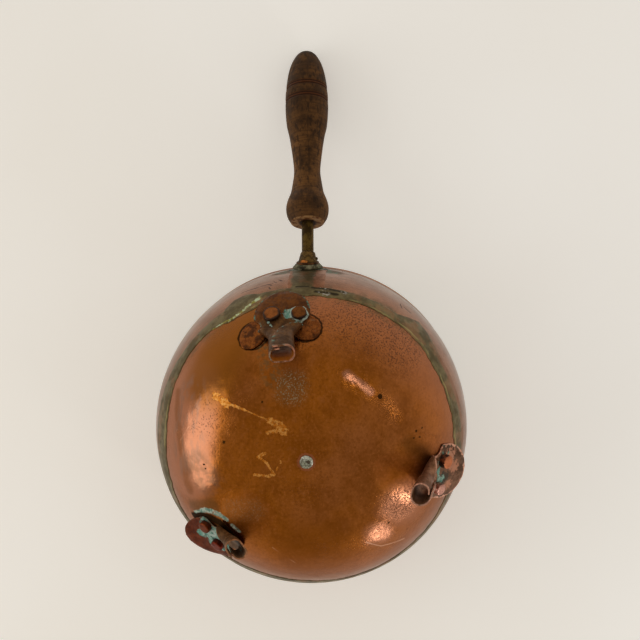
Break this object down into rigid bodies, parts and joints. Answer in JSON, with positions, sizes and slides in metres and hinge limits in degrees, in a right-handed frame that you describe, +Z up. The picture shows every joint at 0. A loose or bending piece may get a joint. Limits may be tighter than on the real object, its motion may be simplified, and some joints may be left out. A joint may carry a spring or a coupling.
{
  "type": "saucepan",
  "caption": "Bellied copper saucepan with a domed base, brazed seams, rolled hollow feet riveted to the base and a turned wooden grip on a raked metal rod",
  "frame": {"origin": "centre of the whole pan's bounding box in X and Y, on the plane its feet stand on", "axes": "+Z up out of the pan's mouth; +X along the handle, seen from above; +Y across it"},
  "size_m": [0.3388, 0.2, 0.1979],
  "materials": {
    "body_copper": "aged sheet copper, hammered, oxidised brown with rubbed bright spots",
    "feet_copper": "dark oxidised sheet copper with worn pink edges and verdigris",
    "rivet_copper": "rust-brown copper, filed flat",
    "brass": "dull olive brazing brass",
    "solder": "dull grey tin solder",
    "wood": "dark turned hardwood, worn, open grain"
  },
  "bodies": {
    "root": {"base_bowl": "body_copper", "side_wall": "body_copper", "base_seam_braze": "brass", "side_seam_braze": "brass", "centre_plug": "solder", "front_foot": "feet_copper", "right_foot": "feet_copper", "left_foot": "feet_copper", "front_foot_patch": "feet_copper", "front_foot_rivet_a": "rivet_copper", "front_foot_rivet_b": "rivet_copper", "right_foot_rivet_a": "rivet_copper", "right_foot_rivet_b": "rivet_copper", "left_foot_rivet_a": "rivet_copper", "left_foot_rivet_b": "rivet_copper", "handle_tang": "brass", "handle_solder": "solder", "handle_flange": "brass", "handle_washer": "rivet_copper", "handle_collar": "brass", "inner_washer": "rivet_copper", "wooden_grip": "wood"}
  },
  "joints": []
}
